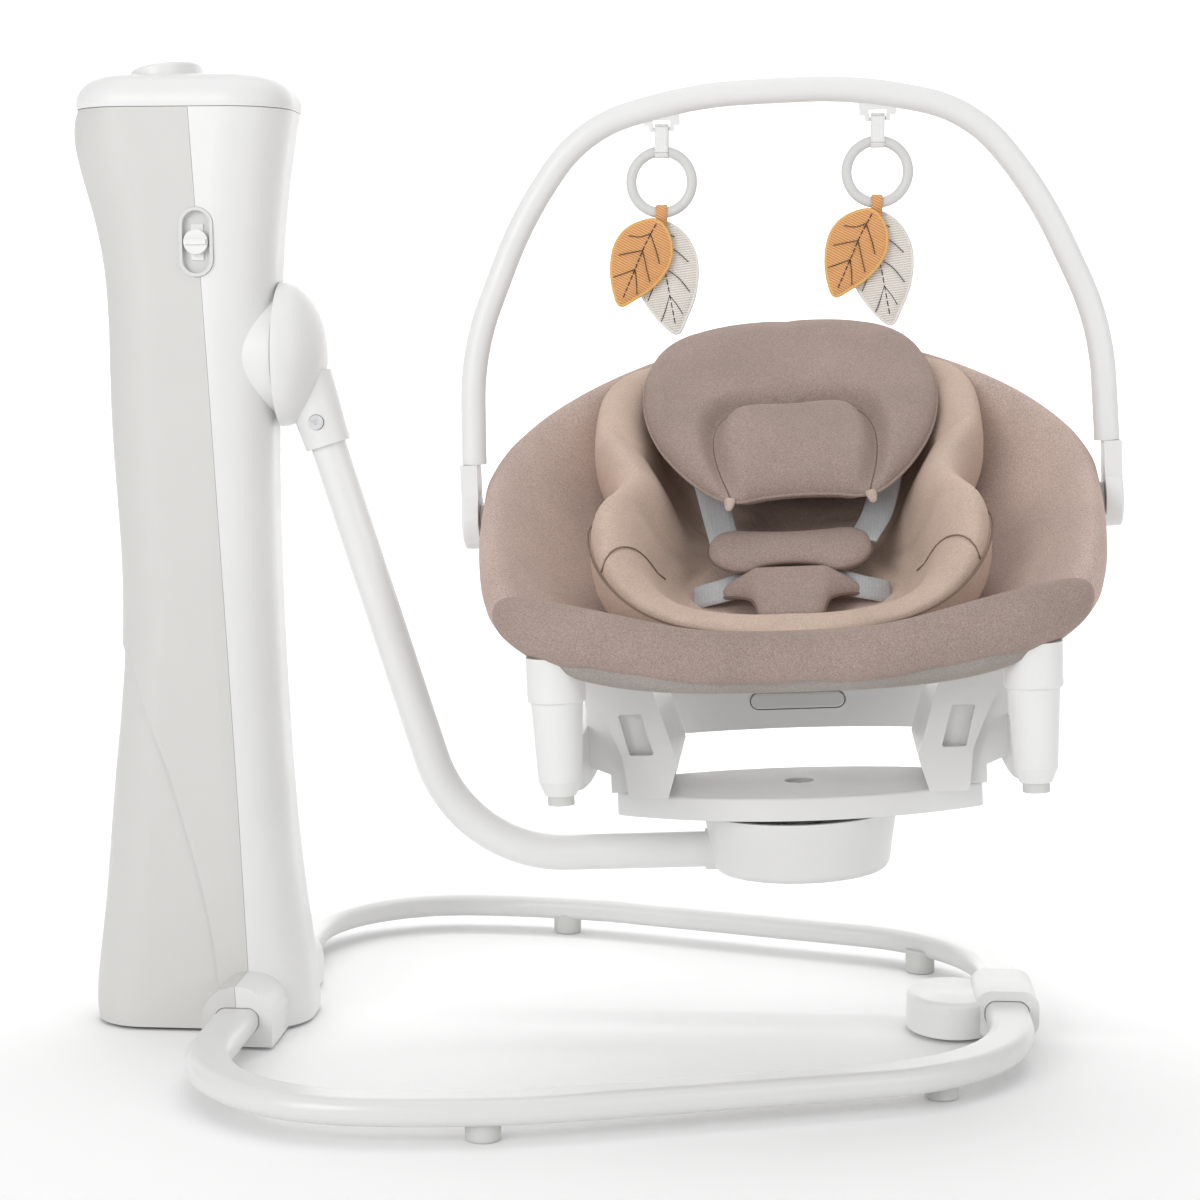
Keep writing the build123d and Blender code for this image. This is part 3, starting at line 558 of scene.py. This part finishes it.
def make_cover():
    """The big padded cover: a funnel inside, a rolled rim over the hoop and a bowl underneath."""
    around, rows = 210, 60
    rim = cover_outline(around)
    # share of the way out to the rim, and height over the hoop's plane
    side = open_curve([(0.05, -0.070), (0.35, -0.066), (0.55, -0.052), (0.68, -0.034), (0.78, -0.014),
                       (0.85, 0.004), (0.90, 0.017), (0.945, 0.025), (0.985, 0.022), (1.005, 0.006),
                       (1.0, -0.012), (0.975, -0.026), (0.90, -0.048), (0.79, -0.066), (0.62, -0.082),
                       (0.40, -0.090), (0.06, -0.092)], rows)
    front = open_curve([(0.05, -0.070), (0.35, -0.066), (0.55, -0.056), (0.68, -0.044), (0.76, -0.032),
                        (0.82, -0.020), (0.87, -0.008), (0.915, 0.006), (0.955, 0.012), (0.985, 0.006),
                        (0.99, -0.008), (0.965, -0.015), (0.90, -0.022), (0.79, -0.035), (0.62, -0.058),
                        (0.40, -0.078), (0.06, -0.088)], rows)
    share_front = ease((-rim[:, 1] - 0.14) / 0.10)[:, None]
    rings = []
    for s, f in zip(side, front):
        mixed = (1 - share_front) * s + share_front * f
        rings.append(np.column_stack([rim * mixed[:, :1], mixed[:, 1]]))
    piece = rings_object("seat_cover_cloth", rings, MATS["cover_fabric"], HOOP)
    lip = int(np.argmax(side[:, 0]))
    pinned = points_in_rows([*range(8), *range(lip + 5, rows)], around)
    # the underside rows take the darker skirt melange, painted shade of the cover's underside
    piece.data.materials.append(MATS["skirt_fabric"])
    for face in piece.data.polygons:
        if lip + 3 <= face.vertices[0] // around < rows:
            face.material_index = 1
    puff(piece, pinned, 2.5, 0.003)
    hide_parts("seat_cover")
    soft(piece, "seat")


def make_bolster():
    """The stuffed roll along the seat's front edge, and the binding that wraps the hoop below it."""
    half = [(0.0, -0.266), (0.06, -0.264), (0.110, -0.255), (0.155, -0.241), (0.190, -0.228),
            (0.219, -0.211), (0.240, -0.190)]
    line = open_curve([(-u, v) for u, v in half[::-1]] + half[1:], 90)
    along = np.linspace(-1, 1, len(line))
    rounded_ends = np.sqrt(np.clip(1 - np.abs(along) ** 9, 0.03, 1))
    radii = 0.024 * rounded_ends * (1 + 0.07 * hump(np.abs(along) - 0.72, 0.14))
    centre = np.column_stack([line, 0.009 + 0.006 * along**2])
    runs = np.gradient(line, axis=0)
    runs /= np.linalg.norm(runs, axis=1)[:, None]
    out = np.column_stack([runs[:, 1], -runs[:, 0], np.zeros(len(line))])
    sides = 36
    turn = np.linspace(0, 2 * math.pi, sides, endpoint=False)
    c, s = np.cos(turn)[:, None], np.sin(turn)[:, None]
    rings = [p + r * (c * o + s * np.array([0, 0, 1.0])) for p, o, r in zip(centre, out, radii)]
    piece = rings_object("front_bolster", rings, MATS["pad_fabric"], HOOP)
    underside = [i * sides + k for i in range(len(rings)) for k in (27, 26, 28)]
    last = (len(rings) - 1) * sides
    puff(piece, [*underside, *range(sides), *range(last, last + sides)], 4.0, 0.004, 0.01)
    soft(piece, "seat")
    turn = np.linspace(math.radians(-160), math.radians(-20), 90)
    c, d = np.cos(turn), np.sin(turn)
    path = np.column_stack([0.256 * np.sign(c) * np.abs(c) ** FRONT_POWER,
                            -0.272 * np.abs(d) ** FRONT_POWER])
    path = np.column_stack([even(path, 120, False), np.full(120, -0.003)])
    radii = 0.0155 * np.sqrt(np.clip(1 - np.linspace(-1, 1, 120) ** 10, 0.1, 1))
    # the binding takes the darker skirt melange, painted shade below the front roll
    binding = tube_object("front_binding", path, radii, MATS["skirt_fabric"], 14, place=HOOP)
    trim(binding, "seat")


# ---------------------------------------------------------------- body support
INSERT_OUTLINE = [(0.0, 0.232), (0.075, 0.231), (0.126, 0.221), (0.158, 0.199), (0.174, 0.160),
                  (0.177, 0.110), (0.174, 0.055), (0.160, 0.005), (0.153, -0.034), (0.161, -0.062),
                  (0.171, -0.090), (0.163, -0.135), (0.137, -0.174), (0.098, -0.203),
                  (0.050, -0.219), (0.0, -0.223)]


def make_body_support():
    """The beige insert: a raised lip with a lobe at each hip, and a hollow inside."""
    around, rows = 190, 56
    rim = closed_curve(mirrored(INSERT_OUTLINE), around)
    shape = open_curve([(0.05, -0.050), (0.30, -0.049), (0.46, -0.045), (0.57, -0.034), (0.65, -0.014),
                        (0.71, 0.008), (0.78, 0.027), (0.86, 0.037), (0.93, 0.036), (0.975, 0.025),
                        (1.0, 0.006), (0.992, -0.014), (0.96, -0.030), (0.88, -0.042), (0.70, -0.054),
                        (0.40, -0.062), (0.05, -0.064)], rows)
    frontness = ease((-rim[:, 1] - 0.10) / 0.11)
    backness = np.clip((rim[:, 1] - 0.05) / 0.18, 0, 1)
    lobe = hump(rim[:, 1] + 0.10, 0.055) * (np.abs(rim[:, 0]) > 0.10)
    raised = 1 - 0.95 * frontness + 0.20 * lobe - 0.45 * backness
    narrow = 1 - 0.52 * frontness
    lip_from = 0.65
    rings = []
    for share, w in shape:
        if share > lip_from:
            out = 1 - (1 - share) * narrow
        else:
            out = share / lip_from * (1 - (1 - lip_from) * narrow)
        height = w * (raised if w > 0 else np.ones(around))
        rings.append(np.column_stack([rim * out[:, None], height]))
    piece = rings_object("body_support_pad", rings, MATS["insert_fabric"], HOOP)
    lip = int(np.argmax(shape[:, 0]))
    seam_row = lip - 1
    valley = int(np.argmin(np.abs(shape[:lip, 0] - 0.62)))
    pinned = points_in_rows([seam_row, valley, *range(4), *range(lip + 12, rows)], around)
    piece.data.materials.append(MATS["cover_fabric"])
    inverse = HOOP.inverted()
    for face in piece.data.polygons:
        p = inverse @ face.center
        if face.vertices[0] // around < lip and abs(p.x) < 0.072 and abs(p.y - 0.02) < 0.16:
            face.material_index = 1
    puff(piece, pinned, 4.0, 0.005, 0.01)
    # the seam round the lip, shown where the lip is low, and one seam across each lobe
    edge = np.asarray(rings[seam_row]) * np.array([1.008, 1.008, 1.0])
    start = int(np.argmin(np.abs(edge[:, 1] - 0.02) + 10 * (edge[:, 0] < 0)))
    edge = np.roll(edge, -start, axis=0)
    if edge[12, 1] > edge[0, 1]:
        edge = edge[::-1]
    low = edge[edge[:, 1] < -0.055]
    line = tube_object("body_support_seam", low, 0.0009, MATS["insert_thread"], 6, place=HOOP)
    trim(line, "seat")
    for k, at in SIDES:
        column = int(np.argmin(np.hypot(rim[:, 0] - at * 0.158, rim[:, 1] + 0.147)))
        cross = np.array([rings[row][column] for row in range(seam_row - 11, seam_row + 1)])
        cross[:, 2] += 0.0012
        line = tube_object(f"body_support_cross_seam_{k}", cross, 0.0007, MATS["insert_thread"], 6,
                           place=HOOP)
        trim(line, "seat")
    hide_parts("body_support")
    soft(piece, "seat")


# ---------------------------------------------------------------- head support
HEAD_OUTLINE = [(0.0, 0.268), (0.055, 0.260), (0.098, 0.237), (0.122, 0.201), (0.132, 0.148),
                (0.131, 0.095), (0.121, 0.045), (0.104, 0.003), (0.084, -0.030), (0.066, -0.049),
                (0.050, -0.052), (0.030, -0.046), (0.0, -0.043)]
HEAD_SEAM = [(0.0, 0.096), (0.034, 0.096), (0.056, 0.088), (0.068, 0.066), (0.072, 0.030),
             (0.068, -0.012), (0.060, -0.049)]


def make_head_support():
    """The head pillow with its sewn panel, a welt round the edge and a tab at each lower corner."""
    seam = open_curve([(-u, v) for u, v in HEAD_SEAM[::-1]] + HEAD_SEAM[1:], 70)

    def curl(p):
        return 0.022 + 0.35 * p[:, 0] ** 2

    place = HOOP @ Matrix.Translation((0.008, 0.002, 0)) @ Matrix.Rotation(math.radians(2.5), 4, "Z")
    piece, pinned, surface, rim = pillow(
        "head_support_pillow", mirrored(HEAD_OUTLINE), MATS["pad_fabric"], 0.023, 0.014, 0.040, 180, 34,
        [seam], base=curl, place=place, centre=(0.0, 0.10))
    puff(piece, pinned, 3.0, 0.004)
    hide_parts("head_support")
    soft(piece, "seat")
    line = tube_object("head_support_seam", surface(seam, 0.0004), 0.0008, MATS["seam_thread"], 6,
                       place=place)
    trim(line, "seat")
    edge = np.column_stack([rim, curl(rim)])
    welt = tube_object("head_support_welt", edge, 0.0016, MATS["pad_fabric"], 8, True, place)
    trim(welt, "seat")
    taper = [0.0045, 0.0048, 0.0048, 0.0046, 0.0042, 0.0036, 0.003, 0.0015]
    for k, side in SIDES:
        at = np.array([side * 0.060, -0.051, 0.026])
        path = [at, at + (side * 0.001, -0.005, -0.002), at + (side * 0.002, -0.011, -0.005)]
        tab = tube_object(f"head_tab_{k}", open_curve(path, 8), taper, MATS["cover_fabric"], 10,
                          place=place, flat=0.5)
        trim(tab, "seat")


# ---------------------------------------------------------------- harness
CHEST_OUTLINE = [(0.0, -0.051), (0.030, -0.049), (0.052, -0.047), (0.066, -0.056), (0.070, -0.072),
                 (0.067, -0.090), (0.055, -0.104), (0.038, -0.108), (0.022, -0.099), (0.0, -0.096)]
CROTCH_OUTLINE = [(0.0, -0.100), (0.036, -0.101), (0.056, -0.108), (0.059, -0.117), (0.046, -0.128),
                  (0.034, -0.142), (0.029, -0.160), (0.026, -0.176), (0.014, -0.182), (0.0, -0.183)]


def chest_base(p):
    return np.full(len(p), -0.012)


def crotch_base(p):
    wings, foot = np.clip(np.abs(p[:, 0]) - 0.030, 0, 1), np.clip(-p[:, 1] - 0.14, 0, 1)
    return -0.017 - 0.5 * wings + 0.12 * foot


def make_pad(node, outline, thickness, edge, base, centre, welt_radius):
    """A small harness pad with a welt round its edge."""
    piece, pinned, _, rim = pillow(f"{node}_pillow", mirrored(outline), MATS["pad_fabric"], *thickness,
                                   edge, 110, 16, base=base, centre=centre)
    puff(piece, pinned, 2.0, 0.0015)
    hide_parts(node)
    soft(piece, "seat")
    welt = tube_object(f"{node}_welt", np.column_stack([rim, base(rim)]), welt_radius,
                       MATS["seam_thread"], 8, True, HOOP)
    trim(welt, "seat")


def make_straps():
    """Shoulder straps from under the head support to the chest pad, and lap straps to the buckle."""
    left = [(-0.078, 0.040, 0.018), (-0.070, 0.008, 0.006), (-0.062, -0.028, -0.008),
            (-0.056, -0.064, -0.010)]
    right = [(0.092, 0.046, 0.018), (0.086, 0.010, 0.006), (0.076, -0.028, -0.008),
             (0.062, -0.066, -0.010)]
    for k, path, lean in (("left", left, 0.0), ("right", right, 0.25)):
        line = open_curve(path, 26)
        across = np.column_stack([np.full(26, 1.0), np.full(26, lean), np.linspace(0.1, 0.0, 26)])
        piece = ribbon_object(f"shoulder_webbing_{k}", line, across, 0.026, 0.0022,
                              MATS["strap_webbing"], HOOP)
        trim(piece, "seat")
    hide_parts("shoulder_straps")
    for k, side in SIDES:
        path = [(side * 0.084, -0.106, -0.040), (side * 0.072, -0.112, -0.032),
                (side * 0.056, -0.113, -0.027), (side * 0.030, -0.100, -0.026)]
        line = open_curve(path, 20)
        across = np.column_stack([np.zeros(20), np.full(20, 1.0), np.full(20, 0.55)])
        piece = ribbon_object(f"lap_webbing_{k}", line, across, 0.022, 0.0020, MATS["strap_webbing"],
                              HOOP)
        trim(piece, "seat")
    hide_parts("lap_straps")


# ---------------------------------------------------------------- toys
def leaf_outline(length, width):
    """A pointed leaf that hangs from (0, 0): x right, z down, fuller above its middle."""
    edge = [(0.0, 0.0), (0.30, -0.10), (0.47, -0.27), (0.50, -0.45), (0.40, -0.68), (0.20, -0.88),
            (0.03, -1.0), (-0.17, -0.90), (-0.38, -0.70), (-0.50, -0.47), (-0.47, -0.27),
            (-0.28, -0.10)]
    return [(x * width, z * length) for x, z in edge]


def make_leaf(name, joint, length, width, lean, depth, piping, body, slot, veins):
    """A padded leaf with piping round its edge and stitched veins."""
    top = Vector(joint["pos_m"]) + Vector((-0.003, depth, -0.0070))
    upright = Matrix.Rotation(math.pi / 2, 4, "X")
    place = Matrix.Translation(top) @ Matrix.Rotation(lean, 4, "Y") @ upright
    piece, pinned, surface, rim = pillow(
        f"{name}_cloth", leaf_outline(length, width), MATS[slot], 0.0030, 0.0022, 0.012, 96, 14,
        place=place, centre=(0, -0.45 * length))
    puff(piece, pinned, 3.0, 0.0010, 0.01)
    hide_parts(name)
    soft(piece, body)
    edge = tube_object(f"{name}_piping", np.column_stack([rim, np.zeros(len(rim))]), 0.0015,
                       MATS[piping], 8, True, place)
    trim(edge, body)
    stitches = []
    for vein in veins:
        path = open_curve([(x * width, z * length) for x, z in vein], 40)
        on = surface(path, 0.0006)
        for i in range(0, len(on) - 2, 3):
            stitches.append(on[i:i + 3])
    join_tubes(f"{name}_stitches", stitches, 0.00045, MATS["dark_thread"], place, body)


def join_tubes(name, lines, radius, mat, place, body):
    """Many short thread stitches as one piece."""
    points, faces = [], []
    for line in lines:
        a, b = line[0], line[-1]
        run = (b - a) / max(np.linalg.norm(b - a), 1e-9)
        side = np.cross(run, (0, 0, 1.0))
        side /= max(np.linalg.norm(side), 1e-9)
        up = np.array([0, 0, 1.0])
        start, tip = len(points), run * radius
        for end, size in ((a - tip, 0.4), (a + tip, 1.0), (b - tip, 1.0), (b + tip, 0.4)):
            for k in range(6):
                t = k * math.pi / 3
                points.append(end + radius * size * (math.cos(t) * side + math.sin(t) * up))
        for ring in (start, start + 6, start + 12):
            for k in range(6):
                m = (k + 1) % 6
                faces.append((ring + k, ring + m, ring + 6 + m, ring + 6 + k))
        faces.append(tuple(start + k for k in range(5, -1, -1)))
        faces.append(tuple(start + 18 + k for k in range(6)))
    piece = mesh_object(name, points, faces, mat, place)
    trim(piece, body)


# veins as shares of the leaf's width and length
MID = [(0.0, -0.04), (-0.02, -0.30), (0.0, -0.60), (0.02, -0.93)]
FRONT_VEINS = [
    MID,
    [(-0.02, -0.16), (0.20, -0.30), (0.36, -0.42)], [(-0.02, -0.16), (-0.16, -0.24), (-0.36, -0.28)],
    [(-0.02, -0.36), (0.18, -0.52), (0.34, -0.64)], [(-0.02, -0.36), (-0.20, -0.44), (-0.38, -0.52)],
    [(0.0, -0.58), (0.12, -0.70), (0.22, -0.82)], [(0.0, -0.58), (-0.16, -0.68), (-0.30, -0.76)],
]
BACK_VEINS = [
    MID,
    [(-0.02, -0.20), (0.20, -0.28), (0.38, -0.40)], [(-0.01, -0.42), (0.18, -0.52), (0.33, -0.66)],
    [(-0.01, -0.42), (-0.20, -0.54), (-0.36, -0.68)], [(0.0, -0.66), (0.10, -0.76), (0.16, -0.84)],
    [(0.0, -0.66), (-0.10, -0.78), (-0.20, -0.88)], [(-0.02, -0.10), (0.10, -0.12), (0.22, -0.16)],
]
RING_TUBE = 0.0046
RING_MID_RADIUS = 0.0265


def make_toy(side):
    """The cloth parts of one toy: two leaves, the loop they hang in and the ribbon to the bar."""
    joints = {j["name"]: j for j in frame["joints"]}
    low = joints[f"leaves_{side}_swing"]
    body = f"leaves_{side}"
    make_leaf(f"leaf_front_{side}", low, 0.080, 0.049, math.radians(25), -0.0042, "orange_piping", body,
              "orange_cloth", FRONT_VEINS)
    make_leaf(f"leaf_back_{side}", low, 0.099, 0.055, math.radians(-9), 0.0042, "pale_piping", body,
              "leaf_grey_cloth", BACK_VEINS)
    pin = Vector(low["pos_m"])
    turn = np.linspace(math.radians(-60), math.radians(240), 26)
    loop = [(pin.x, pin.y + 0.0064 * math.cos(t), pin.z + 0.0064 * math.sin(t)) for t in turn]
    loop = [(pin.x, pin.y + 0.0022, pin.z - 0.0125), *loop, (pin.x, pin.y - 0.0022, pin.z - 0.0125)]
    piece = ribbon_object(f"leaf_loop_{side}", loop, (1, 0, 0), 0.0095, 0.0014, MATS["orange_cloth"])
    trim(piece, body)
    top = Vector(joints[f"toy_{side}_swing"]["pos_m"])
    drop = top.z - (pin.z + 2 * RING_MID_RADIUS)
    r_top, r_low = 0.0034, RING_TUBE + 0.0010
    path = []
    for t in np.linspace(0, math.pi, 14):
        path.append((top.x, top.y + r_top * math.cos(t), top.z + 0.0008 + r_top * math.sin(t)))
    for t in np.linspace(math.pi, 2 * math.pi, 18):
        path.append((top.x, top.y + r_low * math.cos(t), top.z - drop + r_low * math.sin(t)))
    path.append((top.x, top.y + r_top * 1.02, top.z - 0.0005))
    path = open_curve(path, 60)
    piece = ribbon_object(f"toy_ribbon_{side}", path, (1, 0, 0), 0.012, 0.0010, MATS["toy_strap_cloth"])
    trim(piece, f"toy_{side}")
    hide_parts(f"toy_strap_{side}")


# ---------------------------------------------------------------- stage, lights, camera
def make_stage():
    """A pale floor that curves up into a backdrop."""
    s = Shader("pale_floor", Roughness=0.75, Specular_IOR_Level=0.2)
    s.color(s.ramp(s.noise(1.5, 2.0), [(0.3, (0.955, 0.955, 0.955)), (0.7, (0.97, 0.97, 0.97))]))
    size, back, height, bend = 9.0, 4.5, 6.0, 1.5
    line = [(-size, 0.0)] + [(back - bend + bend * math.sin(t), bend - bend * math.cos(t))
                             for t in np.linspace(0, math.pi / 2, 16)] + [(back, height)]
    points = [(x, y, z) for y, z in line for x in (-size, size)]
    faces = [(2 * i, 2 * i + 1, 2 * i + 3, 2 * i + 2) for i in range(len(line) - 1)]
    floor = mesh_object("studio_sweep", points, faces, s.mat)


def area_light(name, place, target, size, power):
    data = bpy.data.lights.new(name, "AREA")
    data.shape = "RECTANGLE"
    data.size, data.size_y = size
    data.energy = power
    lamp = bpy.data.objects.new(name, data)
    lamp.location = place
    lamp.rotation_euler = (Vector(target) - Vector(place)).to_track_quat("-Z", "Y").to_euler()
    bpy.context.scene.collection.objects.link(lamp)


def make_lights():
    world = bpy.data.worlds.new("studio_world")
    world.use_nodes = True
    sky = world.node_tree.nodes["Background"].inputs
    sky["Color"].default_value = (1, 1, 1, 1)
    sky["Strength"].default_value = 0.58
    bpy.context.scene.world = world
    area_light("key_light", (-1.7, -3.0, 1.5), (0, 0, 0.4), (1.8, 1.8), 44)
    area_light("fill_light", (2.6, -2.2, 1.4), (0.1, 0, 0.4), (2.0, 2.0), 16)
    area_light("top_light", (0.2, 0.2, 3.0), (0, 0, 0.3), (2.4, 2.4), 17)
    area_light("backdrop_light", (0, 1.6, 3.2), (0, 4.5, 1.2), (5.0, 1.0), 150)
    bpy.context.scene.view_settings.view_transform = "Standard"


def make_camera():
    """A long lens low in front of the seat, turned and tipped a little."""
    data = bpy.data.cameras.new("camera")
    data.sensor_width = 36.0
    data.lens = 76.2
    camera = bpy.data.objects.new("camera", data)
    camera.location = (HUB.x + 0.005, -2.237, 0.615)
    camera.rotation_euler = (math.radians(90 - 5.9), 0, math.radians(4.7))
    bpy.context.scene.collection.objects.link(camera)
    bpy.context.scene.camera = camera


make_camera()
make_lights()
make_stage()
make_cover()
make_bolster()
make_body_support()
make_head_support()
make_pad("chest_pad", CHEST_OUTLINE, (0.009, 0.008), 0.018, chest_base, None, 0.0011)
make_pad("crotch_pad", CROTCH_OUTLINE, (0.009, 0.006), 0.014, crotch_base, (0, -0.135), 0.0014)
make_straps()
make_toy("left")
make_toy("right")
run_cloth()
for padded, *_ in waiting:
    subdivide(padded)
